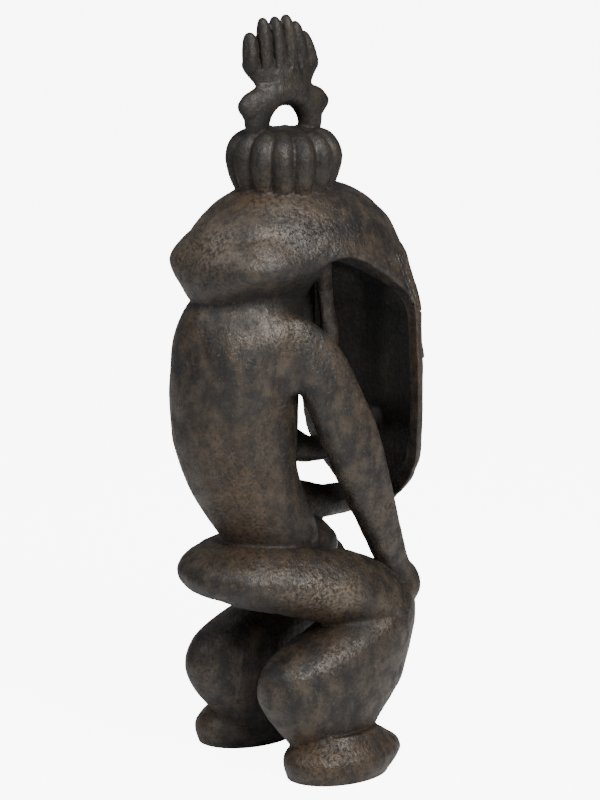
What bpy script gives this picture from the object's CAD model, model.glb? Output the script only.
"""Ramu ancestor figure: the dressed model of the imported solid, from trunk to carving and patina."""

import math

import bmesh
import bpy
import numpy as np
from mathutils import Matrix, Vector
from mathutils.bvhtree import BVHTree


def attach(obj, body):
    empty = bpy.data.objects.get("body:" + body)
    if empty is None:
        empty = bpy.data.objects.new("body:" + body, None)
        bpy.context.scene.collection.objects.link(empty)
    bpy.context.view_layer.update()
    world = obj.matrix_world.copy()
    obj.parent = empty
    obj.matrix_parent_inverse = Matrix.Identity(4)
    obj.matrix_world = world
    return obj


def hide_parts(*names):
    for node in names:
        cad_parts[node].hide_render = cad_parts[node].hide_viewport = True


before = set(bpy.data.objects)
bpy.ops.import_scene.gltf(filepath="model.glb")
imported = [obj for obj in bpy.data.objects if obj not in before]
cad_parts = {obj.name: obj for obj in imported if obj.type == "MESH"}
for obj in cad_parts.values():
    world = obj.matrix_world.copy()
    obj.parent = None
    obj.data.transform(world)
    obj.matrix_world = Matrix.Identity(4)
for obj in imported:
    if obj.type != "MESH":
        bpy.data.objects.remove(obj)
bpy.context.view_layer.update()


# The trunk
# A long swelling body, the middle of the log, with a soft ridge down the spine. The carver left it thick,
# because everything else hangs on it. Sizes are thousandths of the figure's height, set out on one grid.
HEIGHT = 0.520
GRID = HEIGHT / 1000
MIDDLE = 17


def at(side, forward, up):
    """A place on the carver's grid: side is towards the figure's left, forward is where it looks."""
    return Vector((side, -forward - MIDDLE, up)) * GRID


def along(stations, steps=8):
    """The stations with smooth ones put between them, by a Catmull-Rom spline through all their numbers."""
    ends = [stations[0], *stations, stations[-1]]
    finer = []
    for before, start, end, after in zip(ends, ends[1:], ends[2:], ends[3:]):
        for step in range(steps):
            t = step / steps
            weights = (
                (-t + 2 * t * t - t**3) / 2,
                (2 - 5 * t * t + 3 * t**3) / 2,
                (t + 4 * t * t - 3 * t**3) / 2,
                (-t * t + t**3) / 2,
            )
            columns = zip(before, start, end, after)
            finer.append(tuple(sum(w * v for w, v in zip(weights, column)) for column in columns))
    return finer + [tuple(stations[-1])]


def turn(sides=72):
    """The angles of a ring's corners."""
    return [2 * math.pi * k / sides for k in range(sides)]


def swell(value, power):
    """A cosine or sine bent towards a squarer oval where power is over 2, and a sharper one under 2."""
    return math.copysign(abs(value) ** (2 / power), value)


def loft(name, rings):
    """A closed mesh through the rings, which have the same number of corners, capped at both ends."""
    mesh = bmesh.new()
    rows = [[mesh.verts.new(corner) for corner in ring] for ring in rings]
    for lower, upper in zip(rows, rows[1:]):
        for k in range(len(lower)):
            n = (k + 1) % len(lower)
            mesh.faces.new((lower[k], lower[n], upper[n], upper[k]))
    mesh.faces.new(reversed(rows[0]))
    mesh.faces.new(rows[-1])
    bmesh.ops.triangulate(mesh, faces=[f for f in mesh.faces if len(f.verts) > 4])
    bmesh.ops.recalc_face_normals(mesh, faces=mesh.faces)
    data = bpy.data.meshes.new(name)
    mesh.to_mesh(data)
    mesh.free()
    form = bpy.data.objects.new(name, data)
    bpy.context.scene.collection.objects.link(form)
    return form


def level_rings(stations, power=2.0, keel=0.0, side=0.0):
    """Level ovals: (up, forward of the middle, half depth, half width), with a keel down the back."""
    rings = []
    for up, middle, depth, width in along(stations):
        ring = []
        for a in turn():
            spine = keel * max(0.0, -math.cos(a)) ** 10
            reach = depth * swell(math.cos(a), power) * (1 + spine)
            ring.append(at(side + width * swell(math.sin(a), power), middle + reach, up))
        rings.append(ring)
    return rings


TRUNK = [
    (246, -40, 40, 40),
    (262, -42, 50, 48),
    (290, -48, 64, 58),
    (316, -53, 68, 64),
    (339, -66, 71, 68),
    (376, -87, 74, 72),
    (405, -100, 75, 75),
    (433, -106, 78, 79),
    (460, -108, 82, 83),
    (513, -109, 84, 85),
    (552, -108, 83, 84),
    (584, -107, 80, 80),
    (610, -103, 75, 74),
    (632, -97, 67, 65),
    (650, -90, 56, 56),
]
forms = [loft("trunk", level_rings(TRUNK, keel=0.045))]


# The belly
# A low round swelling in front of the trunk's foot, between the thighs. It is left standing from the same
# log, so the trunk sits broad on the thighs.
BELLY = [
    (262, 0, 44, 38),
    (284, 5, 50, 42),
    (300, 4, 49, 42),
    (313, -3, 44, 40),
    (326, -11, 38, 36),
    (342, -22, 33, 34),
    (360, -34, 28, 30),
]
forms.append(loft("belly", level_rings(BELLY)))


# The head
# A wide dome, longest from brow to nape, over the block of the neck. The neck narrows from the dome's brim to
# a deep crease on the shoulders, and its two front corners stand up as thin edges beside the hollow. The
# knife took the brim up a little over each opening.
DOME = [
    (675, -20, 155, 105),
    (680, -17, 159, 109),
    (688, -15, 161, 112),
    (702, -14, 156, 109),
    (727, -14, 143, 98),
    (746, -14, 124, 86),
    (761, -13, 104, 74),
    (771, -13, 84, 63),
    (780, -17, 62, 50),
    (787, -20, 38, 34),
    (791, -22, 16, 14),
]
NECK = [
    (560, -68, 58, 52),
    (590, -72, 64, 52),
    (612, -80, 70, 54),
    (632, -84, 79, 57),
    (646, -87, 84, 67),
    (660, -88, 88, 84),
    (672, -88, 90, 99),
    (682, -88, 91, 108),
    (692, -86, 88, 105),
    (704, -84, 83, 97),
    (716, -80, 76, 88),
    (728, -76, 62, 74),
]
NECK_FRONT = [
    (540, -30, 34, 42),
    (590, -26, 30, 40),
    (640, -30, 32, 42),
    (690, -40, 36, 56),
]
NECK_EDGE = [
    (96, -38, 694, 10, 12),
    (84, -27, 680, 10, 12),
    (72, -17, 665, 9, 12),
    (62, -7, 645, 8, 12),
    (57, 0, 620, 8, 12),
    (55, 5, 595, 9, 13),
    (53, 5, 572, 12, 15),
    (49, -2, 548, 15, 18),
    (42, -12, 524, 15, 18),
]
HOOD_LIFT, HOOD_MIDDLE, HOOD_SPAN = 16, -6, 66
HOOD_TOP, HOOD_FADE = 702, 27


def limb_rings(stations, hand=1, power=2.0, facing=None, edge=0.0):
    """Ovals square to a limb's line: (side, forward, up, half width, half height), mirrored by hand.

    The half width is measured along facing, which is the figure's side unless another is given.
    An edge over 0 squares the outer front corner, as a knife leaves it.
    """
    line = along(stations)
    centres = [at(hand * s[0], s[1], s[2]) for s in line]
    rings = []
    for k, station in enumerate(line):
        run = (centres[min(k + 1, len(line) - 1)] - centres[max(k - 1, 0)]).normalized()
        across = Vector(facing or (hand, 0, 0))
        across = (across - run * across.dot(run)).normalized()
        rise = run.cross(across)
        if facing is None and hand < 0:
            rise = -rise
        width, height = station[3] * GRID, station[4] * GRID
        ring = []
        for a in turn():
            corner = power + edge * max(0.0, math.sin(2 * a)) * (math.cos(a) > 0)
            out = across * width * swell(math.cos(a), corner)
            ring.append(centres[k] + out + rise * height * swell(math.sin(a), corner))
        rings.append(ring)
    return rings


dome_rings = level_rings(DOME, power=2.05)
for ring in dome_rings:
    for corner in ring:
        forward, up = -corner.y / GRID - MIDDLE, corner.z / GRID
        share = max(1 - ((forward - HOOD_MIDDLE) / HOOD_SPAN) ** 2, 0)
        corner.z += HOOD_LIFT * GRID * share * min(max((HOOD_TOP - up) / HOOD_FADE, 0), 1)
forms.append(loft("dome", dome_rings))
forms.append(loft("neck", level_rings(NECK, power=2.4)))
forms.append(loft("neck_front", level_rings(NECK_FRONT, power=4.0)))
for hand in (1, -1):
    forms.append(loft("neck_edge", limb_rings(NECK_EDGE, hand)))


# The face's board
# A tall board, rounded in front and hollowed behind, that hangs from the brow down to the chin. It is cut
# from the same log: the carver gouged a long bowl behind it and left a thin wall all round.
FACE_WALL = 0.0090
BOWL_FOOT, BOWL_TOP, BOWL_MOUTH = 344, 681, 40
BOWL_SQUARENESS, BOWL_LEAST = 5, 0.0005
FACE = [
    (322, 119, 129, 12),
    (327, 118, 132, 30),
    (337, 116, 136, 46),
    (350, 113, 140, 60),
    (365, 111, 143, 79),
    (381, 109, 144, 95),
    (400, 106, 144, 109),
    (418, 103, 144, 118),
    (452, 100, 142, 124),
    (493, 99, 141, 127),
    (533, 99, 141, 126),
    (587, 99, 142, 122),
    (606, 100, 144, 120),
    (622, 97, 145, 119),
    (638, 88, 148, 116),
    (652, 71, 151, 114),
    (667, 49, 152, 113),
    (680, 27, 152, 113),
    (690, 6, 149, 111),
    (699, -12, 144, 106),
]


def face_front(side, up):
    """How far forward the face's board reaches at a place on it."""
    for below, above in zip(FACE, FACE[1:]):
        if up <= above[0]:
            break
    share = min(max((up - below[0]) / (above[0] - below[0]), 0), 1)
    back, front, width = (b + (a - b) * share for b, a in zip(below[1:], above[1:]))
    return back + (front - back) * math.sqrt(max(1 - (side / width) ** 2, 0))


board_rings = []
for up, back, front, width in along(FACE):
    reaches = [(a, back + (front - back) * max(math.cos(a), 0)) for a in turn()]
    board_rings.append([at(width * math.sin(a), reach, up) for a, reach in reaches])
board = loft("face_board", board_rings)

wall = FACE_WALL / GRID
bowl_middle, bowl_reach = (BOWL_FOOT + BOWL_TOP) / 2, (BOWL_TOP - BOWL_FOOT) / 2
bowl_rings = []
for up, back, front, width in along([s for s in FACE if BOWL_FOOT <= s[0] <= BOWL_TOP]):
    full = math.sqrt(max(1 - abs((up - bowl_middle) / bowl_reach) ** BOWL_SQUARENESS, BOWL_LEAST))
    depth = (front - wall - back) * full
    ring = []
    for a in turn():
        forward = depth * math.cos(a) if math.cos(a) > 0 else BOWL_MOUTH * math.cos(a)
        ring.append(at((width - wall) * full * math.sin(a), back + forward, up))
    bowl_rings.append(ring)
bowl = loft("bowl", bowl_rings)


def settled(form):
    """The form with its modifiers made part of its mesh."""
    graph = bpy.context.evaluated_depsgraph_get()
    finished = bpy.data.meshes.new_from_object(form.evaluated_get(graph))
    form.modifiers.clear()
    form.data = finished
    return form


hollowed = board.modifiers.new("hollowed", "BOOLEAN")
hollowed.operation = "DIFFERENCE"
hollowed.object = bowl
forms.append(settled(board))
bpy.data.objects.remove(bowl)


# The features of the face
# Low forms left standing on the board: arched brows, a long straight nose, closed almond eyes and a small
# closed mouth. They are of one wood with it, and were carved last, with a small knife.
NOSE = [
    (0, face_front(0, 590) - 6, 592, 8, 7),
    (0, face_front(0, 570) - 1, 570, 9, 9),
    (0, face_front(0, 530) + 3, 530, 9, 11),
    (0, face_front(0, 490) + 6, 490, 12, 13),
    (0, face_front(0, 468) + 7, 468, 17, 14),
    (0, face_front(0, 458) + 3, 458, 16, 12),
    (0, face_front(0, 450) - 4, 452, 10, 9),
]
BROW = [(2, 566), (18, 584), (42, 592), (66, 586), (86, 568), (98, 544)]
EYE = [(19, 531, 2), (26, 534, 6), (37, 537, 9), (48, 538, 10), (60, 536, 8), (71, 532, 5), (78, 528, 2)]
LIPS = [(-34, 418, 3), (-24, 417, 6), (-10, 416, 9), (0, 415, 9), (10, 416, 9), (24, 417, 6), (34, 418, 3)]
UPRIGHT = (0, 0, 1)

forms.append(loft("nose", limb_rings(NOSE)))
for hand in (1, -1):
    brow = [(s, face_front(s, up) - 1, up, 8, 7) for s, up in BROW]
    eye = [(s, face_front(s, up) - 1, up, h, 7) for s, up, h in EYE]
    forms.append(loft("brow", limb_rings(brow, hand, facing=UPRIGHT)))
    forms.append(loft("eye", limb_rings(eye, hand, facing=UPRIGHT)))
lips = [(s, face_front(s, up), up, h, 6) for s, up, h in LIPS]
forms.append(loft("mouth", limb_rings(lips, facing=UPRIGHT)))


# The arms and hands
# Each arm leaves the shoulder, stands clear of the trunk and comes down to a hand that lies over the knee.
# Its outer face is flat, with a crisp edge down the front. Both are cut from the log, and the left one is
# held a little further back.
ARM = [
    (28, -112, 578, 28, 30),
    (46, -90, 587, 31, 33),
    (69, -62, 580, 31, 36),
    (85, -37, 546, 28, 38),
    (94, -17, 502, 26, 38),
    (100, 8, 444, 26, 38),
    (99, 30, 391, 24, 34),
    (95, 52, 344, 22, 28),
    (90, 71, 306, 20, 24),
    (85, 85, 281, 19, 20),
    (81, 96, 262, 20, 19),
    (77, 108, 246, 24, 22),
    (75, 114, 229, 25, 22),
    (74, 115, 213, 20, 15),
]
SHOULDER = [
    (30, -104, 606, 30, 32),
    (54, -90, 592, 35, 42),
    (66, -84, 568, 29, 42),
    (73, -80, 546, 21, 34),
    (79, -77, 526, 11, 18),
]
LEFT_ARM_BACK, BACK_MOST, BACK_SPAN = 11, 380, 130


def round_ends(stations, start, end):
    """The stations of a limb with a half-round end put on at either side, each reaching that far."""
    made = list(stations)
    for place, inner, reach in ((0, 1, start), (-1, -2, end)):
        if not reach:
            continue
        tip, near = made[place], made[inner]
        run = Vector(tip[:3]) - Vector(near[:3])
        run.normalize()
        caps = []
        for share in (0.5, 0.85, 1.0):
            shrink = math.sqrt(max(1 - share * share, 0.0004))
            caps.append((*(Vector(tip[:3]) + run * reach * share), tip[3] * shrink, tip[4] * shrink))
        made = [*reversed(caps), *made] if place == 0 else [*made, *caps]
    return made


for hand in (1, -1):
    held_back = LEFT_ARM_BACK if hand > 0 else 0
    arm = []
    for side, forward, up, width, height in ARM:
        middle = max(0, 1 - abs(up - BACK_MOST) / BACK_SPAN)
        arm.append((side + held_back * middle / 2, forward - held_back * middle, up, width, height))
    forms.append(loft("arm", limb_rings(round_ends(arm, 20, 12), hand, power=2.25, edge=1.2)))
    forms.append(loft("shoulder", limb_rings(round_ends(SHOULDER, 12, 10), hand)))


# The seat and thighs
# The thighs are cigar forms with a soft outer ridge, cut from the log. They meet in one rounded seat under
# the trunk, and each ends in a point that laps over the knee.
SEAT = [
    (225, -60, 32, 36),
    (232, -68, 56, 58),
    (243, -78, 80, 80),
    (258, -86, 93, 92),
    (275, -87, 95, 94),
    (291, -81, 85, 86),
    (306, -72, 62, 66),
    (317, -62, 34, 40),
]
THIGH = [
    (42, -134, 266, 38, 34),
    (54, -96, 265, 50, 42),
    (68, -45, 258, 56, 48),
    (77, 5, 245, 55, 52),
    (82, 50, 224, 50, 50),
    (84, 80, 204, 42, 41),
    (85, 100, 189, 28, 28),
    (85, 113, 179, 10, 10),
]
forms.append(loft("seat", level_rings(SEAT)))
for hand in (1, -1):
    forms.append(loft("thigh", limb_rings(round_ends(THIGH, 20, 4), hand, power=1.5)))


# The lower legs and feet
# A heavy calf swells below the knee and draws in to the ankle, over a flared foot without toes. The two soles
# are sawn flat, and the whole figure stands on them.
SHANK = [
    (240, 92, 22, 24),
    (231, 84, 36, 34),
    (220, 74, 48, 42),
    (207, 63, 59, 49),
    (189, 42, 79, 55),
    (167, 14, 103, 59),
    (146, -3, 115, 60),
    (117, -12, 114, 59),
    (92, -16, 100, 55),
    (67, -17, 80, 49),
    (50, -15, 66, 45),
    (36, -14, 56, 43),
    (26, -12, 54, 42),
]
FOOT = [
    (-8, -15, 71, 53),
    (4, -14, 76, 56),
    (14, -11, 82, 60),
    (26, -6, 87, 61),
    (37, -4, 81, 56),
    (48, -6, 66, 47),
    (60, -10, 51, 40),
]
SHANK_SIDE, FOOT_SIDE = 81, 99.5
for hand in (1, -1):
    forms.append(loft("shank", level_rings(SHANK, side=hand * SHANK_SIDE)))
    forms.append(loft("foot", level_rings(FOOT, side=hand * FOOT_SIDE)))


# The two bars behind the face
# Short bars of the log that the carver left between the trunk and the board, thinnest in the middle, so the
# long face wouldn't split off.
UPPER_BAR = [
    (0, -44, 432, 26, 34),
    (0, -18, 430, 22, 24),
    (0, 10, 420, 20, 18),
    (0, 42, 420, 20, 17),
    (0, 80, 433, 20, 17),
    (0, 126, 450, 20, 20),
]
LOWER_BAR = [
    (0, -62, 352, 42, 44),
    (0, -22, 351, 36, 33),
    (0, 10, 348, 29, 27),
    (0, 42, 344, 24, 22),
    (0, 82, 344, 24, 20),
    (0, 122, 346, 26, 16),
]
forms.append(loft("upper_bar", limb_rings(UPPER_BAR)))
forms.append(loft("lower_bar", limb_rings(LOWER_BAR)))


# The crest's cap
# Fourteen round lobes side by side, like the bottom of a gourd, on a plain core. They are cut from the log
# with the head. Geometry Nodes bends one lobe and sets it round the crest's axis.
CREST_CENTRE = -27
LOBES = 14
ROUND_SIDES = 24
CAP_CORE = [(752, 54), (770, 53), (800, 60), (817, 63), (830, 58), (840, 51), (847, 41), (852, 27), (854, 10)]


def put(tree, kind, inputs=None, **settings):
    """One node in the tree. Inputs gives a socket's name or number its value, or a socket to link."""
    node = tree.nodes.new(kind)
    for name, value in settings.items():
        setattr(node, name, value)
    for key, value in (inputs or {}).items():
        if isinstance(value, bpy.types.NodeSocket):
            tree.links.new(value, node.inputs[key])
        else:
            node.inputs[key].default_value = value
    return node


def new_tree(name, **inputs):
    """A Geometry Nodes tree with a geometry in and out and the named inputs, and the node that gives them."""
    tree = bpy.data.node_groups.new(name, "GeometryNodeTree")
    for way in ("INPUT", "OUTPUT"):
        tree.interface.new_socket("Geometry", in_out=way, socket_type="NodeSocketGeometry")
    for label, kind in inputs.items():
        tree.interface.new_socket(label.replace("_", " "), in_out="INPUT", socket_type=f"NodeSocket{kind}")
    return tree, put(tree, "NodeGroupInput")


def run_tree(form, tree, values):
    """Puts the tree on the form as a modifier, with its inputs set by their sockets' identifiers."""
    modifier = form.modifiers.new(tree.name, "NODES")
    modifier.node_group = tree
    for item in tree.interface.items_tree:
        if item.in_out == "INPUT" and item.name in values:
            modifier[item.identifier] = values[item.name]
    return modifier


def empty_form(name):
    """An object with an empty mesh, for a tree that makes its own shape."""
    form = bpy.data.objects.new(name, bpy.data.meshes.new(name))
    bpy.context.scene.collection.objects.link(form)
    return form


raw_wood = bpy.data.materials.new("raw_wood")


def end_tree(tree, geometry):
    """Ends the tree in plain wood, which the patina takes the place of at the end."""
    shown = put(tree, "GeometryNodeSetMaterial", {"Geometry": geometry, "Material": raw_wood})
    put(tree, "NodeGroupOutput", {"Geometry": shown.outputs["Geometry"]})


def move(tree, geometry, **where):
    """The geometry with its points set to a Position or moved by an Offset."""
    return put(tree, "GeometryNodeSetPosition", {"Geometry": geometry, **where}).outputs["Geometry"]


def round_rod(tree, curve, girth):
    """A closed round rod along the curve, as thick as girth says at each place."""
    ring = put(tree, "GeometryNodeCurvePrimitiveCircle", {"Resolution": ROUND_SIDES, "Radius": 1.0})
    rod = put(
        tree,
        "GeometryNodeCurveToMesh",
        {"Curve": curve, "Profile Curve": ring.outputs["Curve"], "Scale": girth, "Fill Caps": True},
    )
    return rod.outputs["Mesh"]


def set_out(tree, points, one, **turned):
    """Puts the one form on each point, makes the copies real and ends the tree."""
    copies = put(tree, "GeometryNodeInstanceOnPoints", {"Points": points, "Instance": one, **turned})
    real = put(tree, "GeometryNodeRealizeInstances", {"Geometry": copies.outputs["Instances"]})
    end_tree(tree, real.outputs["Geometry"])


LOBE_ROWS = 48
LOBE_REACH = [(0, 0.76), (0.16, 0.82), (0.33, 0.91), (0.55, 0.985), (0.66, 1.0), (0.78, 0.96), (0.9, 0.83)]
LOBE_REACH.append((1, 0.62))
LOBE_GIRTH = [(0, 0.42), (0.08, 0.72), (0.25, 0.9), (0.5, 1.0), (0.75, 0.98), (0.9, 0.84), (1, 0.5)]


def shaped(tree, value, places):
    """A value between 0 and 1 read off a smooth curve through the given places."""
    node = put(tree, "ShaderNodeFloatCurve", {"Value": value})
    curve = node.mapping.curves[0]
    curve.points[0].location = places[0]
    curve.points[1].location = places[-1]
    for spot in places[1:-1]:
        curve.points.new(*spot)
    node.mapping.update()
    return node.outputs["Value"]


def math_node(tree, operation, first, second=0.0):
    """The result of one sum on numbers or sockets."""
    return put(tree, "ShaderNodeMath", {0: first, 1: second}, operation=operation).outputs[0]


lobe_tree, given = new_tree(
    "lobes_round_an_axis",
    Lobes="Int",
    Foot="Float",
    Height="Float",
    Reach="Float",
    Girth="Float",
    Axis="Vector",
)
stem = put(lobe_tree, "GeometryNodeMeshLine", {"Count": LOBE_ROWS, "Offset": (0, 0, 0)}, mode="OFFSET")
row = put(lobe_tree, "GeometryNodeInputIndex")
share = math_node(lobe_tree, "DIVIDE", row.outputs[0], LOBE_ROWS - 1)
reach = math_node(lobe_tree, "MULTIPLY", shaped(lobe_tree, share, LOBE_REACH), given.outputs["Reach"])
risen = math_node(lobe_tree, "MULTIPLY", share, given.outputs["Height"])
rise = math_node(lobe_tree, "ADD", given.outputs["Foot"], risen)
backwards = math_node(lobe_tree, "MULTIPLY", reach, -1.0)
spot = put(lobe_tree, "ShaderNodeCombineXYZ", {"Y": backwards, "Z": rise})
stem = move(lobe_tree, stem.outputs["Mesh"], Position=spot.outputs[0])
spine = put(lobe_tree, "GeometryNodeMeshToCurve", {"Mesh": stem})
place = put(lobe_tree, "GeometryNodeSplineParameter")
girth = shaped(lobe_tree, place.outputs["Factor"], LOBE_GIRTH)
girth = math_node(lobe_tree, "MULTIPLY", girth, given.outputs["Girth"])
one_lobe = round_rod(lobe_tree, spine.outputs["Curve"], girth)
spots = put(
    lobe_tree, "GeometryNodePoints", {"Count": given.outputs["Lobes"], "Position": given.outputs["Axis"]}
)
index = put(lobe_tree, "GeometryNodeInputIndex")
per_lobe = math_node(lobe_tree, "DIVIDE", 2 * math.pi, given.outputs["Lobes"])
turned = math_node(lobe_tree, "MULTIPLY", index.outputs[0], per_lobe)
heading = put(lobe_tree, "ShaderNodeCombineXYZ", {"Z": turned})
set_out(lobe_tree, spots.outputs[0], one_lobe, Rotation=heading.outputs[0])

cap_lobes = empty_form("cap_lobes")
run_tree(
    cap_lobes,
    lobe_tree,
    {
        "Lobes": LOBES,
        "Foot": 762 * GRID,
        "Height": 82 * GRID,
        "Reach": 62 * GRID,
        "Girth": 15.5 * GRID,
        "Axis": at(0, CREST_CENTRE, 0),
    },
)
forms.append(settled(cap_lobes))
core = [(up, CREST_CENTRE, reach, reach) for up, reach in CAP_CORE]
forms.append(loft("cap_core", level_rings(core)))


# The crest's arch
# Two bent arms that rise from the cap, lean outwards to an elbow and meet under the fan, round a small hole.
# The carver bored the hole through the log and then rounded the arms.
ARCH = [
    (42, 830, 13, 15.5),
    (42, 848, 13, 16),
    (43, 864, 14, 18),
    (38, 881, 16, 20),
    (22, 894, 16, 18),
    (8, 898, 16, 17),
    (-6, 899, 16, 17),
]
ELBOW = [
    (30, 880, 14, 28),
    (46, 882, 14, 26),
    (58, 884, 12, 19),
    (67, 885, 8, 11),
    (72, 886, 4, 5),
]
CREST_NECK = [(890, 38, 13), (900, 43, 14), (908, 45, 13), (914, 45, 13)]
for way in (1, -1):
    for name, stations in (("crest_arm", ARCH), ("crest_elbow", ELBOW)):
        half = [(0, CREST_CENTRE + way * f, up, w, h) for f, up, w, h in stations]
        forms.append(loft(name, limb_rings(half)))
neck = [(up, CREST_CENTRE, reach, thick) for up, reach, thick in CREST_NECK]
forms.append(loft("crest_neck", level_rings(neck)))


# The crest's fan
# Six fingers side by side on a palm, in the front-to-back plane and bent a little, each a tapered round with
# a blunt tip, cut free with a knife. Geometry Nodes leans and lengthens one finger for each of its places.
FINGERS = 6
FAN_BEND, FAN_SPAN = 9, 52
PALM = [(906, 44, 13), (913, 48, 13), (920, 54, 13), (928, 60, 12), (935, 63, 11), (941, 61, 9), (946, 53, 5)]
PALM_FORWARD = 4


def vector_math(tree, operation, first, second):
    """The result of one sum on vectors. A scale takes a number second, and a dot product gives one."""
    other = "Scale" if operation == "SCALE" else 1
    node = put(tree, "ShaderNodeVectorMath", {0: first, other: second}, operation=operation)
    return node.outputs["Value" if operation == "DOT_PRODUCT" else "Vector"]


palm_rings = []
for up, depth, width in along(PALM):
    ring = []
    for a in turn():
        reach = depth * math.cos(a)
        bend = FAN_BEND * (reach / FAN_SPAN) ** 2
        ring.append(at(width * math.sin(a) + bend, CREST_CENTRE + PALM_FORWARD + reach, up))
    palm_rings.append(ring)
forms.append(loft("palm", palm_rings))

finger_tree, given = new_tree(
    "fingers_on_a_palm",
    Fingers="Int",
    Middle="Vector",
    Foot_Reach="Float",
    Tip_Reach="Float",
    Tip_Shift="Float",
    Length="Float",
    Drop="Float",
    Bend="Float",
    Depth="Float",
    Thickness="Float",
)
index = put(finger_tree, "GeometryNodeInputIndex")
last = math_node(finger_tree, "SUBTRACT", given.outputs["Fingers"], 1.0)
half_way = math_node(finger_tree, "MULTIPLY", last, 0.5)
from_middle = math_node(finger_tree, "SUBTRACT", index.outputs[0], half_way)
offset = math_node(finger_tree, "DIVIDE", from_middle, half_way)
FAN_DROP = [(0, 0.92), (0.2, 0.15), (0.4, 0.1), (0.6, 0.0), (0.8, 0.36), (1, 0.9)]
row_share = math_node(finger_tree, "DIVIDE", index.outputs[0], last)
foot_at = math_node(finger_tree, "MULTIPLY", offset, given.outputs["Foot Reach"])
squared = math_node(finger_tree, "MULTIPLY", offset, offset)
bend_at = math_node(finger_tree, "MULTIPLY", squared, given.outputs["Bend"])
foot_place = put(finger_tree, "ShaderNodeCombineXYZ", {"X": bend_at, "Y": foot_at})
foot_place = vector_math(finger_tree, "ADD", foot_place.outputs[0], given.outputs["Middle"])
drop = math_node(finger_tree, "MULTIPLY", shaped(finger_tree, row_share, FAN_DROP), given.outputs["Drop"])
tall = math_node(finger_tree, "SUBTRACT", given.outputs["Length"], drop)
tip_at = math_node(finger_tree, "MULTIPLY", offset, given.outputs["Tip Reach"])
tip_at = math_node(finger_tree, "ADD", tip_at, given.outputs["Tip Shift"])
lean = math_node(finger_tree, "DIVIDE", math_node(finger_tree, "SUBTRACT", tip_at, foot_at), tall)
lean_angle = math_node(finger_tree, "ARCTANGENT", math_node(finger_tree, "MULTIPLY", lean, -1.0))
turn_by = put(finger_tree, "ShaderNodeCombineXYZ", {"X": lean_angle})
stretch = put(
    finger_tree,
    "ShaderNodeCombineXYZ",
    {"X": given.outputs["Thickness"], "Y": given.outputs["Depth"], "Z": tall},
)
FINGER_ROWS = 40
rod = put(
    finger_tree,
    "GeometryNodeMeshLine",
    {"Count": FINGER_ROWS, "Offset": (0, 0, 1 / (FINGER_ROWS - 1))},
    mode="OFFSET",
)
rod = put(finger_tree, "GeometryNodeMeshToCurve", {"Mesh": rod.outputs["Mesh"]})
place = put(finger_tree, "GeometryNodeSplineParameter")
FINGER_TAPER = [(0, 0.5), (0.18, 0.94), (0.4, 1.0), (0.7, 0.9), (0.86, 0.76), (0.95, 0.56), (1, 0.2)]
taper = shaped(finger_tree, place.outputs["Factor"], FINGER_TAPER)
one_finger = round_rod(finger_tree, rod.outputs["Curve"], taper)
spots = put(finger_tree, "GeometryNodePoints", {"Count": given.outputs["Fingers"], "Position": foot_place})
set_out(finger_tree, spots.outputs[0], one_finger, Rotation=turn_by.outputs[0], Scale=stretch.outputs[0])

FINGER_FOOT = 924
fan = empty_form("fan_fingers")
run_tree(
    fan,
    finger_tree,
    {
        "Fingers": FINGERS,
        "Middle": at(0, CREST_CENTRE + PALM_FORWARD, FINGER_FOOT),
        "Foot Reach": -51 * GRID,
        "Tip Reach": -42 * GRID,
        "Tip Shift": 10 * GRID,
        "Length": (1000 - FINGER_FOOT) * GRID,
        "Drop": 25 * GRID,
        "Bend": FAN_BEND * GRID,
        "Depth": 10.4 * GRID,
        "Thickness": 11.5 * GRID,
    },
)
forms.append(settled(fan))


# One log
# All of it is one piece of wood, so the forms above grow together into one skin. Where the carver's cuts meet
# in the open they are rubbed soft: along the brim of the head, over the shoulders and round the seat.
SKIN = 0.0008
whole = bmesh.new()
for form in forms:
    whole.from_mesh(form.data)
    bpy.data.objects.remove(form)
figure_mesh = bpy.data.meshes.new("carved_figure")
whole.to_mesh(figure_mesh)
whole.free()
figure = bpy.data.objects.new("carved_figure", figure_mesh)
bpy.context.scene.collection.objects.link(figure)
remesh = figure.modifiers.new("one_log", "REMESH")
remesh.mode = "VOXEL"
remesh.voxel_size = SKIN
rubbed = figure.modifiers.new("rubbed", "SMOOTH")
rubbed.iterations = 6
rubbed.factor = 0.5
settled(figure)


def on_grid(mesh):
    """The mesh's points as rows of side, forward and up on the carver's grid."""
    points = np.empty(len(mesh.vertices) * 3, np.float32)
    mesh.vertices.foreach_get("co", points)
    points = points.reshape(-1, 3) / GRID
    return np.column_stack([points[:, 0], -points[:, 1] - MIDDLE, points[:, 2]])


def mark(mesh, name, spots, extra=None):
    """Keeps on each point its nearness to spots of (side, forward, up, reach, strength), on both sides."""
    places = on_grid(mesh)
    value = np.zeros(len(places), np.float32) if extra is None else extra.astype(np.float32)
    for side, forward, up, reach, strength in spots:
        away = (np.abs(places[:, 0]) - side) ** 2 + (places[:, 1] - forward) ** 2 + (places[:, 2] - up) ** 2
        value = np.maximum(value, strength * np.exp(-away / (reach * reach)))
    layer = mesh.attributes.get(name) or mesh.attributes.new(name, "FLOAT", "POINT")
    layer.data.foreach_set("value", value)


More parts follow.
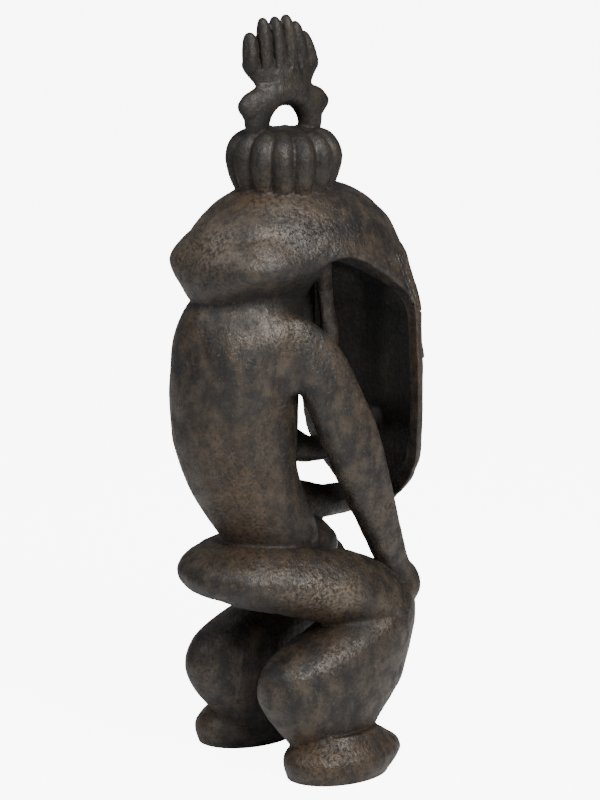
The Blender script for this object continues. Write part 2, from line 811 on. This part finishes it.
SOFT_JOINS = [
    (86, -84, 572, 40, 0.95),
    (84, -92, 535, 30, 0.95),
    (62, -100, 604, 26, 0.8),
    (74, -112, 240, 34, 0.9),
    (58, -150, 236, 30, 0.9),
    (110, 30, 684, 16, 0.6),
    (112, 60, 668, 14, 0.6),
    (84, 40, 200, 30, 0.7),
]
BRIM_UP, BRIM_REACH, BRIM_STRENGTH = 686, 15, 0.8
BRIM_FRONT, BRIM_FADE = -30, 30
places = on_grid(figure.data)
brim = BRIM_STRENGTH * np.exp(-(((places[:, 2] - BRIM_UP) / BRIM_REACH) ** 2))
brim = brim * np.clip((BRIM_FRONT - places[:, 1]) / BRIM_FADE, 0, 1)
mark(figure.data, "softness", SOFT_JOINS, brim)


def evened_out(tree, strokes, **weight):
    """Each point's place, drawn towards its neighbours' as often as strokes says."""
    place = put(tree, "GeometryNodeInputPosition")
    inputs = {"Value": place.outputs[0], "Iterations": strokes, **weight}
    return put(tree, "GeometryNodeBlurAttribute", inputs, data_type="FLOAT_VECTOR").outputs["Value"]


soft_tree, given = new_tree("rub_the_joins", Strokes="Int")
softness = put(soft_tree, "GeometryNodeInputNamedAttribute", {"Name": "softness"}, data_type="FLOAT")
rubbed_down = evened_out(soft_tree, given.outputs["Strokes"], Weight=softness.outputs["Attribute"])
end_tree(soft_tree, move(soft_tree, given.outputs["Geometry"], Position=rubbed_down))
RUBBING = 110
run_tree(figure, soft_tree, {"Strokes": RUBBING})
settled(figure)


# The knife lines
# Fine lines cut with the point of a knife: a band of slanting strokes on the temples and over the brow, a
# border down each cheek, the lids and lips, and the fingers of the crest and hands. Each is a shallow furrow.
skin_now = BVHTree.FromObject(figure, bpy.context.evaluated_depsgraph_get())


def lay_lines(name, lines, look, far=400):
    """Edges that follow each line of grid places, laid on the wood by looking at it along one direction."""
    mesh = bmesh.new()
    toward = Vector(look).normalized()
    for line in lines:
        before = None
        for place in along(line, steps=10):
            spot = at(*place)
            found = skin_now.ray_cast(spot - toward * far * GRID, toward)[0]
            if found is None:
                before = None
                continue
            corner = mesh.verts.new(found)
            if before is not None:
                mesh.edges.new((before, corner))
            before = corner
    data = bpy.data.meshes.new(name)
    mesh.to_mesh(data)
    mesh.free()
    lines_object = bpy.data.objects.new(name, data)
    bpy.context.scene.collection.objects.link(lines_object)
    return lines_object


cut_tree, given = new_tree("furrow_along_lines", Lines="Object", Half_Width="Float", Depth="Float")
lines_in = put(
    cut_tree, "GeometryNodeObjectInfo", {"Object": given.outputs["Lines"]}, transform_space="ORIGINAL"
)
near = put(cut_tree, "GeometryNodeProximity", {0: lines_in.outputs["Geometry"]}, target_element="EDGES")
sunk = put(
    cut_tree,
    "ShaderNodeMapRange",
    {
        "Value": near.outputs["Distance"],
        "From Max": given.outputs["Half Width"],
        "To Min": math_node(cut_tree, "MULTIPLY", given.outputs["Depth"], -1.0),
        "To Max": 0.0,
    },
    interpolation_type="SMOOTHSTEP",
)
facing = put(cut_tree, "GeometryNodeInputNormal")
inward = vector_math(cut_tree, "SCALE", facing.outputs[0], sunk.outputs["Result"])
end_tree(cut_tree, move(cut_tree, given.outputs["Geometry"], Offset=inward))

# Half width and depth of each kind of cut
CUTS = {
    "temple_strokes": (2.2, 2.3),
    "finger_grooves": (2.6, 4.0),
    "brow_band": (2.0, 2.0),
    "cheek_border": (1.5, 1.5),
    "cheek_notches": (1.3, 1.1),
    "lid_and_wing": (1.4, 1.3),
    "finger_lines": (1.6, 1.8),
    "mouth_line": (1.5, 1.8),
}
TEMPLE_STROKES, TEMPLE_STEP = 6, 8
BROW_STROKES, HAND_GAPS, HAND_STEP = 9, 4, 6.5
CREST_GAPS = (-0.8, -0.4, 0.0, 0.4, 0.8)
CHEEK_BORDER = [(108, 600), (110, 570), (111, 520), (108, 470), (98, 424), (78, 388)]
BORDER_WIDTH = 9
NOTCHES = range(432, 600, 12)
FRONT = (0, 1, 0)
knife_work = []


def plan(name, lines, look):
    """Lays the lines on the wood, and keeps them with the size of their cut."""
    knife_work.append((lay_lines(name, lines, look), *CUTS[name]))


def seen_in_front(hand, line):
    """A line over the face or hands given as (side, up), on that hand's half."""
    return [(hand * s, 0, up) for s, up in line]


for hand in (1, -1):
    sideways = (-hand, 0, 0)
    temple = []
    for step in range(0, TEMPLE_STROKES * TEMPLE_STEP, TEMPLE_STEP):
        temple.append([(0, 86 + step, 688 - step / TEMPLE_STEP), (0, 90 + step, 655), (0, 97 + step, 622)])
    temple.append([(0, 98, 612), (0, 116, 610), (0, 134, 609)])
    plan("temple_strokes", temple, sideways)
    between_fingers = [
        [
            (0, CREST_CENTRE + 2 + 50 * share, 932),
            (0, CREST_CENTRE - 1 + 48 * share, 952),
            (0, CREST_CENTRE - 5 + 44 * share, 986 - 18 * abs(share)),
        ]
        for share in CREST_GAPS
    ]
    plan("finger_grooves", between_fingers, sideways)
    brow_band = []
    for k in range(BROW_STROKES):
        brow_band.append(seen_in_front(hand, [(5 + 9 * k, 672 - k), (6 + 9.6 * k, 624 - k)]))
    brow_band.append(seen_in_front(hand, [(0, 616), (40, 615), (76, 612), (100, 610)]))
    border = [seen_in_front(hand, [(s - inset, up) for s, up in CHEEK_BORDER]) for inset in (0, BORDER_WIDTH)]
    lid = seen_in_front(hand, [(20, 529), (34, 526), (48, 526), (62, 527), (77, 527)])
    wing = seen_in_front(hand, [(9, 474), (15, 470), (18, 462), (15, 455)])
    notches = []
    for up in NOTCHES:
        inner = 99 - (up - 500) ** 2 / 250
        notches.append(seen_in_front(hand, [(inner, up), (inner + BORDER_WIDTH, up - 7)]))
    plan("brow_band", brow_band, FRONT)
    plan("cheek_border", border, FRONT)
    plan("cheek_notches", notches, FRONT)
    plan("lid_and_wing", [lid, wing], FRONT)
    fingers = []
    for k in range(HAND_GAPS):
        across = 68 + HAND_STEP * k
        fingers.append(seen_in_front(hand, [(across, 236 - 2 * k), (across, 222 - k), (across + 1, 204)]))
    plan("finger_lines", fingers, FRONT)
plan("mouth_line", [seen_in_front(1, [(-33, 418), (-16, 416), (0, 415), (16, 416), (33, 418)])], FRONT)
for lines, half_width, depth in knife_work:
    run_tree(figure, cut_tree, {"Lines": lines, "Half Width": half_width * GRID, "Depth": depth * GRID})
settled(figure)
for lines, *_ in knife_work:
    bpy.data.objects.remove(lines)


# The hand of the carver, and wear
# Nothing is quite regular: broad strokes of the adze leave the forms a little wavy, the knife leaves shallow
# facets, and age has pitted the places that stood in the wet.
PITTED = [
    (92, -58, 722, 44, 0.8),
    (90, -70, 592, 30, 0.7),
    (114, -70, 246, 44, 0.9),
    (136, -50, 165, 44, 0.6),
    (134, -46, 34, 34, 0.8),
    (60, -150, 420, 50, 0.35),
    (96, 10, 440, 40, 0.25),
]
mark(figure.data, "pitted", PITTED)

wear_tree, given = new_tree("carved_and_worn", Wave="Float", Facets="Float", Pits="Float", Seed="Float")
place = put(wear_tree, "GeometryNodeInputPosition")
wave = put(
    wear_tree,
    "ShaderNodeTexNoise",
    {"Vector": place.outputs[0], "W": given.outputs["Seed"], "Scale": 30.0, "Detail": 1.5},
    noise_dimensions="4D",
)
wave = math_node(wear_tree, "SUBTRACT", wave.outputs[0], 0.5)
wave = math_node(wear_tree, "MULTIPLY", wave, given.outputs["Wave"])
long_way = vector_math(wear_tree, "MULTIPLY", place.outputs[0], (1.0, 1.0, 0.45))
facets = put(
    wear_tree,
    "ShaderNodeTexVoronoi",
    {"Vector": long_way, "Scale": 135.0, "Smoothness": 0.35},
    feature="SMOOTH_F1",
)
facets = math_node(wear_tree, "SUBTRACT", facets.outputs["Distance"], 0.45)
facets = math_node(wear_tree, "MULTIPLY", facets, given.outputs["Facets"])
pitted = put(wear_tree, "GeometryNodeInputNamedAttribute", {"Name": "pitted"}, data_type="FLOAT")
patches = put(
    wear_tree,
    "ShaderNodeTexNoise",
    {"Vector": place.outputs[0], "W": given.outputs["Seed"], "Scale": 75.0, "Detail": 3.0},
    noise_dimensions="4D",
)
grit = put(
    wear_tree,
    "ShaderNodeTexNoise",
    {"Vector": place.outputs[0], "Scale": 330.0, "Detail": 2.0, "Roughness": 0.6},
)
open_patch = put(
    wear_tree,
    "ShaderNodeMapRange",
    {"Value": patches.outputs[0], "From Min": 0.46, "From Max": 0.62, "To Min": 0.12, "To Max": 1.0},
)
hole = put(
    wear_tree,
    "ShaderNodeMapRange",
    {"Value": grit.outputs[0], "From Min": 0.56, "From Max": 0.68, "To Min": 0.0, "To Max": -1.0},
    interpolation_type="SMOOTHSTEP",
)
pits = math_node(wear_tree, "MULTIPLY", hole.outputs["Result"], open_patch.outputs["Result"])
pits = math_node(wear_tree, "MULTIPLY", pits, math_node(wear_tree, "ADD", pitted.outputs["Attribute"], 0.15))
pits = math_node(wear_tree, "MULTIPLY", pits, given.outputs["Pits"])
out_by = math_node(wear_tree, "ADD", math_node(wear_tree, "ADD", wave, facets), pits)
height_now = put(wear_tree, "ShaderNodeSeparateXYZ", {0: place.outputs[0]})
SOLE_KEPT = 0.005
off_ground = put(
    wear_tree, "ShaderNodeMapRange", {"Value": height_now.outputs["Z"], "From Max": SOLE_KEPT}
)
out_by = math_node(wear_tree, "MULTIPLY", out_by, off_ground.outputs["Result"])
facing = put(wear_tree, "GeometryNodeInputNormal")
outward = vector_math(wear_tree, "SCALE", facing.outputs[0], out_by)
end_tree(wear_tree, move(wear_tree, given.outputs["Geometry"], Offset=outward))
run_tree(figure, wear_tree, {"Wave": 0.0016, "Facets": 0.0007, "Pits": 0.0011, "Seed": 3.0})
settled(figure)

TRIANGLES = 192_000
figure.data.calc_loop_triangles()
fewer = figure.modifiers.new("fewer_faces", "DECIMATE")
fewer.ratio = min(1.0, TRIANGLES / len(figure.data.loop_triangles))
settled(figure)

sawn = bmesh.new()
sawn.from_mesh(figure.data)
parts = [*sawn.verts, *sawn.edges, *sawn.faces]
bmesh.ops.bisect_plane(sawn, geom=parts, dist=1e-6, plane_co=(0, 0, 0), plane_no=(0, 0, 1), clear_inner=True)
rim = [edge for edge in sawn.edges if edge.is_boundary]
soles = bmesh.ops.holes_fill(sawn, edges=rim)
bmesh.ops.triangulate(sawn, faces=soles["faces"])
bmesh.ops.recalc_face_normals(sawn, faces=sawn.faces)
sawn.to_mesh(figure.data)
sawn.free()
figure.data.shade_smooth()


# The patina
# Old hardwood, smoked and rubbed to a brown black. It is paler and glossy where hands touched it, ochre where
# dirt and raw wood show round the feet and seat, and black with soot in the hollow behind the face.
OCHRE = [
    (0, -168, 596, 26, 0.5),
    (52, -118, 600, 26, 0.55),
    (80, -90, 588, 22, 0.3),
    (50, -140, 380, 50, 0.8),
    (46, -132, 330, 40, 0.6),
    (30, -160, 440, 60, 0.4),
    (100, -30, 222, 34, 0.65),
    (104, 40, 210, 26, 0.6),
    (96, 96, 226, 20, 0.5),
    (100, -70, 47, 26, 0.8),
    (112, 6, 46, 24, 0.8),
    (136, -62, 34, 30, 0.8),
    (118, -80, 226, 22, 0.9),
    (126, -44, 222, 22, 0.9),
    (152, -20, 34, 24, 0.7),
    (108, -84, 40, 24, 0.6),
    (118, -70, 216, 26, 0.7),
    (122, -30, 206, 26, 0.6),
    (70, -96, 305, 26, 0.4),
    (26, -96, 758, 26, 0.7),
    (62, -40, 752, 26, 0.6),
    (44, -80, 772, 22, 0.5),
    (112, 96, 560, 26, 0.35),
    (100, 6, 470, 24, 0.3),
]
WORN = [
    (122, -96, 250, 26, 1.0),
    (130, -62, 250, 26, 1.3),
    (132, -26, 246, 26, 1.2),
    (24, -158, 706, 40, 0.8),
    (70, -110, 716, 34, 0.5),
    (40, -70, 764, 40, 0.5),
    (70, -92, 600, 30, 0.4),
    (132, -34, 184, 26, 0.5),
]
SMOKED = [
    (60, -50, 654, 34, 0.85),
    (60, -40, 622, 26, 0.75),
    (56, -40, 352, 34, 0.55),
    (52, -22, 318, 28, 0.55),
    (80, 88, 262, 20, 0.45),
    (122, 4, 182, 30, 0.4),
    (80, -140, 226, 26, 0.35),
    (62, -150, 640, 26, 0.4),
]
DARK_CREST, CREST_SOOT = (752, 800), 0.55
NECK_SOOT_UP, NECK_SOOT_FRONT, NECK_SOOT = (545, 690), 30, 0.85
places = on_grid(figure.data)
side, forward, up = places[:, 0], places[:, 1], places[:, 2]
front_here = np.interp(up, [s[0] for s in FACE], [s[2] for s in FACE])
inside = np.interp(up, [s[0] for s in FACE], [s[3] for s in FACE]) - wall
bowl_front = (front_here - wall) * np.sqrt(np.clip(1 - (side / inside) ** 2, 0, 1))
in_bowl = np.clip((bowl_front + 3 - forward) / 4, 0, 1) * np.clip((forward - 2) / 40, 0, 1)
in_bowl *= (np.abs(side) < inside + 2) & (up > BOWL_FOOT + 2) & (up < BOWL_TOP + 8)
edge_up, edge_side, edge_forward = ([s[k] for s in NECK_EDGE[::-1]] for k in (2, 0, 1))
beside_neck = (forward < NECK_SOOT_FRONT) & (np.abs(side) < np.interp(up, edge_up, edge_side) + 3)
beside_neck &= (up > NECK_SOOT_UP[0]) & (up < NECK_SOOT_UP[1])
past_edge = np.clip((forward - np.interp(up, edge_up, edge_forward) + 62) / 40, 0, 1)
soot = np.maximum(in_bowl, beside_neck * past_edge * NECK_SOOT)
soot = np.maximum(soot, CREST_SOOT * np.interp(up, DARK_CREST, (0, 1)))
mark(figure.data, "soot", SMOKED, np.clip(soot, 0, 1))
mark(figure.data, "worn", WORN)
mark(figure.data, "ochre", OCHRE)
mark(figure.data, "pitted", PITTED)

hollow_tree, given = new_tree("hollows_and_ridges", Strokes="Int", Wide_Strokes="Int")
place = put(hollow_tree, "GeometryNodeInputPosition")
facing = put(hollow_tree, "GeometryNodeInputNormal")
kept = given.outputs["Geometry"]
for name, strokes in (("hollow", "Strokes"), ("wide_hollow", "Wide Strokes")):
    smoother = evened_out(hollow_tree, given.outputs[strokes])
    lag = vector_math(hollow_tree, "SUBTRACT", smoother, place.outputs[0])
    depth = vector_math(hollow_tree, "DOT_PRODUCT", lag, facing.outputs[0])
    in_millimetres = math_node(hollow_tree, "MULTIPLY", depth, 1000.0)
    stored = put(
        hollow_tree,
        "GeometryNodeStoreNamedAttribute",
        {"Geometry": kept, "Name": name, "Value": in_millimetres},
        data_type="FLOAT",
        domain="POINT",
    )
    kept = stored.outputs["Geometry"]
end_tree(hollow_tree, kept)
run_tree(figure, hollow_tree, {"Strokes": 6, "Wide Strokes": 50})
settled(figure)
figure.data.shade_smooth()

patina = bpy.data.materials.new("rubbed_patina")
patina.use_nodes = True
tree = patina.node_tree
shader = tree.nodes["Principled BSDF"]
space = put(tree, "ShaderNodeTexCoord").outputs["Object"]


def noise(size, detail=3.0, roughness=0.55, vector=None):
    """A noise whose patches are about that many metres across."""
    made = put(
        tree,
        "ShaderNodeTexNoise",
        {"Vector": vector or space, "Scale": 1 / size, "Detail": detail, "Roughness": roughness},
    )
    return made.outputs[0]


def between(value, low, high, top=1.0):
    """The value as a share of the way from low to high, times top."""
    made = put(
        tree,
        "ShaderNodeMapRange",
        {"Value": value, "From Min": low, "From Max": high, "To Max": top},
        interpolation_type="SMOOTHSTEP",
    )
    return made.outputs["Result"]


def product(first, second):
    """One number times another."""
    return math_node(tree, "MULTIPLY", first, second)


def stretched(share):
    """Object coordinates whose patches are drawn out upwards, along the log's grain."""
    return vector_math(tree, "MULTIPLY", space, (1.0, 1.0, share))


def kept_on_points(name):
    """A number that the mesh keeps on its points."""
    return put(tree, "ShaderNodeAttribute", attribute_name=name).outputs["Fac"]


def mix(share, first, second):
    """The second colour over the first, by that share."""
    made = put(tree, "ShaderNodeMix", {"Factor": share, 6: first, 7: second}, data_type="RGBA")
    return made.outputs[2]


SMOKED_BROWN, WARM_BROWN = (0.0088, 0.0078, 0.008, 1), (0.034, 0.0245, 0.0155, 1)
RUBBED, HANDLED = (0.066, 0.052, 0.039, 1), (0.13, 0.1, 0.07, 1)
BLOTCH, CREASE_DIRT, SPECK = (0.0062, 0.0053, 0.0056, 1), (0.006, 0.005, 0.0048, 1), (0.006, 0.005, 0.0045, 1)
RAW_OCHRE, FLECK = (0.078, 0.043, 0.016, 1), (0.13, 0.085, 0.045, 1)
PIT_BLACK, SOOT_BLACK = (0.0035, 0.0028, 0.0025, 1), (0.003, 0.0025, 0.0022, 1)

hollow, wide_hollow = kept_on_points("hollow"), kept_on_points("wide_hollow")
broad, middling, small = noise(0.045), noise(0.012, 4.0, 0.62), noise(0.0028, 4.0, 0.6)
up_grain = stretched(0.09)
tall = stretched(0.42)
grain = noise(0.0014, 3.0, 0.6, up_grain)
mottled = product(0.5, math_node(tree, "ADD", broad, middling))

colour = mix(between(mottled, 0.41, 0.59), SMOKED_BROWN, WARM_BROWN)
worn = product(between(middling, 0.32, 0.78), between(wide_hollow, 0.2, -0.5))
handled = product(kept_on_points("worn"), between(small, 0.36, 0.6))
colour = mix(product(worn, 0.7), colour, RUBBED)
blotches = product(between(noise(0.013, 6.0, 0.72, tall), 0.47, 0.62), between(small, 0.3, 0.5))
colour = mix(product(blotches, 0.85), colour, BLOTCH)
ochre = product(kept_on_points("ochre"), between(small, 0.36, 0.58))
in_creases = product(between(hollow, 0.05, 0.3, 0.3), between(small, 0.46, 0.6))
ochre = math_node(tree, "MAXIMUM", ochre, in_creases)
colour = mix(between(wide_hollow, 0.08, 0.7, 0.75), colour, CREASE_DIRT)
colour = mix(ochre, colour, RAW_OCHRE)
colour = mix(math_node(tree, "MINIMUM", handled, 0.9), colour, HANDLED)
specks = product(between(noise(0.0024, 4.0, 0.75), 0.5, 0.6), between(broad, 0.42, 0.62, 0.85))
colour = mix(specks, colour, SPECK)
flecks = between(noise(0.0021, 3.0, 0.7), 0.63, 0.7, 0.6)
colour = mix(flecks, colour, FLECK)
pit_zone = math_node(tree, "ADD", product(kept_on_points("pitted"), 0.8), 0.1)
dark_pits = product(between(noise(0.0022, 2.0), 0.56, 0.64), pit_zone)
colour = mix(dark_pits, colour, PIT_BLACK)
colour = mix(product(kept_on_points("soot"), 0.9), colour, SOOT_BLACK)
tree.links.new(colour, shader.inputs["Base Color"])

rubbing = math_node(tree, "ADD", small, worn)
gloss = put(tree, "ShaderNodeMapRange", {"Value": rubbing, "To Min": 0.74, "To Max": 0.36}).outputs["Result"]
sooty = product(kept_on_points("soot"), 0.2)
tree.links.new(math_node(tree, "ADD", gloss, sooty), shader.inputs["Roughness"])
shader.inputs["Specular IOR Level"].default_value = 0.42

rough_skin = math_node(tree, "SUBTRACT", product(small, 0.8), product(dark_pits, 0.9))
skin_height = math_node(tree, "ADD", product(grain, 0.35), rough_skin)
bump = put(tree, "ShaderNodeBump", {"Strength": 0.85, "Distance": 0.001, "Height": skin_height})
tree.links.new(bump.outputs["Normal"], shader.inputs["Normal"])

figure.data.materials.clear()
figure.data.materials.append(patina)
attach(figure, "root")
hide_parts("figure")


# The ground
# A plain pale floor that runs out of sight behind the figure. It is bright to the camera alone, so it throws
# no light up under the dark wood.
GROUND_REACH = 14.0
floor_mesh = bmesh.new()
bmesh.ops.create_grid(floor_mesh, x_segments=1, y_segments=1, size=GROUND_REACH)
floor_data = bpy.data.meshes.new("floor")
floor_mesh.to_mesh(floor_data)
floor_mesh.free()
floor = bpy.data.objects.new("floor", floor_data)
bpy.context.scene.collection.objects.link(floor)
paper = bpy.data.materials.new("pale_ground")
paper.use_nodes = True
paper_shader = paper.node_tree.nodes["Principled BSDF"]
paper_shader.inputs["Base Color"].default_value = (0.9, 0.9, 0.9, 1)
paper_shader.inputs["Roughness"].default_value = 0.95
lit_paper = put(paper.node_tree, "ShaderNodeLightPath").outputs["Is Camera Ray"]
paper.node_tree.links.new(lit_paper, paper_shader.inputs["Emission Color"])
paper_shader.inputs["Emission Strength"].default_value = 8.0
floor.data.materials.append(paper)


# The studio
# A long lens looks from the figure's right rear, a little above it. A large soft light stands high on the
# right, with a weaker one on the left and one overhead, in a pale room.
AZIMUTH, DISTANCE, EYE_HEIGHT, LOOK_DOWN = 232.0, 2.0, 0.67, 11.6
LENS_PIXELS, PIXELS_UP, PICTURE_TALL, FILM = 2955.0, 8.5, 800, 36.0
away = math.radians(AZIMUTH)
camera = bpy.data.objects.new("camera", bpy.data.cameras.new("camera"))
bpy.context.scene.collection.objects.link(camera)
camera.location = (math.sin(away) * DISTANCE, -math.cos(away) * DISTANCE - MIDDLE * GRID, EYE_HEIGHT)
camera.rotation_euler = (math.radians(90 - LOOK_DOWN), 0, away)
camera.data.sensor_width = FILM
camera.data.lens = LENS_PIXELS * FILM / PICTURE_TALL
camera.data.shift_y = -PIXELS_UP / PICTURE_TALL
bpy.context.scene.camera = camera


def soft_light(name, azimuth, elevation, distance, size, power, colour=(1, 1, 1)):
    """A square soft light that looks at the figure's middle."""
    target = Vector((0, 0, HEIGHT / 2))
    a, e = math.radians(azimuth), math.radians(elevation)
    spot = target + Vector((math.sin(a) * math.cos(e), -math.cos(a) * math.cos(e), math.sin(e))) * distance
    lamp = bpy.data.objects.new(name, bpy.data.lights.new(name, "AREA"))
    lamp.data.shape = "SQUARE"
    lamp.data.size = size
    lamp.data.energy = power
    lamp.data.color = colour
    lamp.location = spot
    lamp.rotation_euler = (target - spot).to_track_quat("-Z", "Y").to_euler()
    bpy.context.scene.collection.objects.link(lamp)


soft_light("key", AZIMUTH + 30, 42, 1.7, 0.7, 43, (1.0, 0.97, 0.93))
soft_light("side_fill", AZIMUTH - 62, 46, 1.9, 0.8, 10, (0.92, 0.95, 1.0))
soft_light("top", AZIMUTH + 5, 80, 1.7, 1.2, 3)

ROOM_LIGHT, ROOM_SEEN = 0.2, 9.0
studio = bpy.data.worlds.new("studio")
bpy.context.scene.world = studio
studio.use_nodes = True
backdrop = studio.node_tree.nodes["Background"]
backdrop.inputs["Color"].default_value = (1, 1, 1, 1)
looked_at = put(studio.node_tree, "ShaderNodeLightPath").outputs["Is Camera Ray"]
seen_glow = math_node(studio.node_tree, "MULTIPLY", looked_at, ROOM_SEEN)
glow = math_node(studio.node_tree, "ADD", seen_glow, ROOM_LIGHT)
studio.node_tree.links.new(glow, backdrop.inputs["Strength"])
